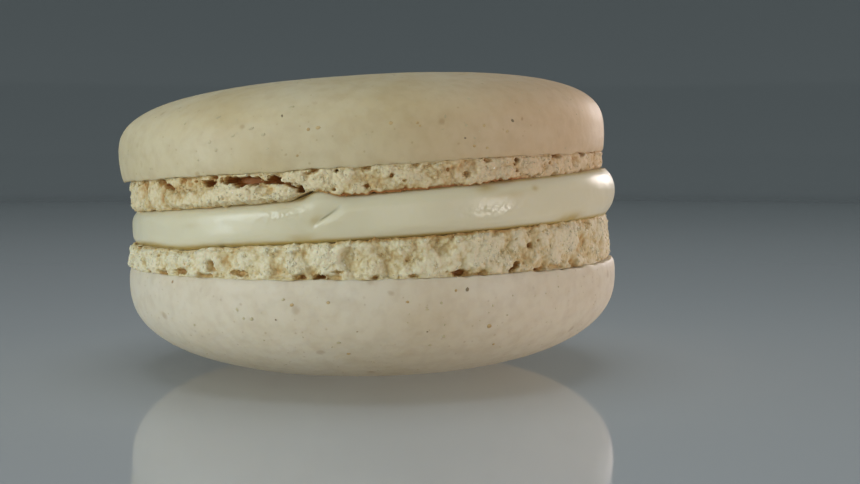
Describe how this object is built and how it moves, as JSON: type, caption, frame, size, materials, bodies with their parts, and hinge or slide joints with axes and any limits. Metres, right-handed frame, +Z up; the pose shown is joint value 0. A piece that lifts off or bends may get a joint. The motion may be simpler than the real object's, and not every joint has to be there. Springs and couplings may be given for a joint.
{
  "type": "macaroon",
  "caption": "Round sandwich biscuit: smooth domed meringue shells with craggy feet, joined foot to foot by a thick layer of cream.",
  "frame": {"origin": "middle of the small flat spot of the lower dome, on which the biscuit rests", "axes": "+Z up through the biscuit's thickness, +X to the right and -Y towards the viewer as pictured"},
  "size_m": [0.0457, 0.045, 0.0269],
  "materials": {
    "baked_shell": "matte",
    "cream": "satin"
  },
  "bodies": {
    "root": {"lower_shell": "baked_shell", "cream_filling": "cream", "upper_shell": "baked_shell"}
  },
  "joints": []
}
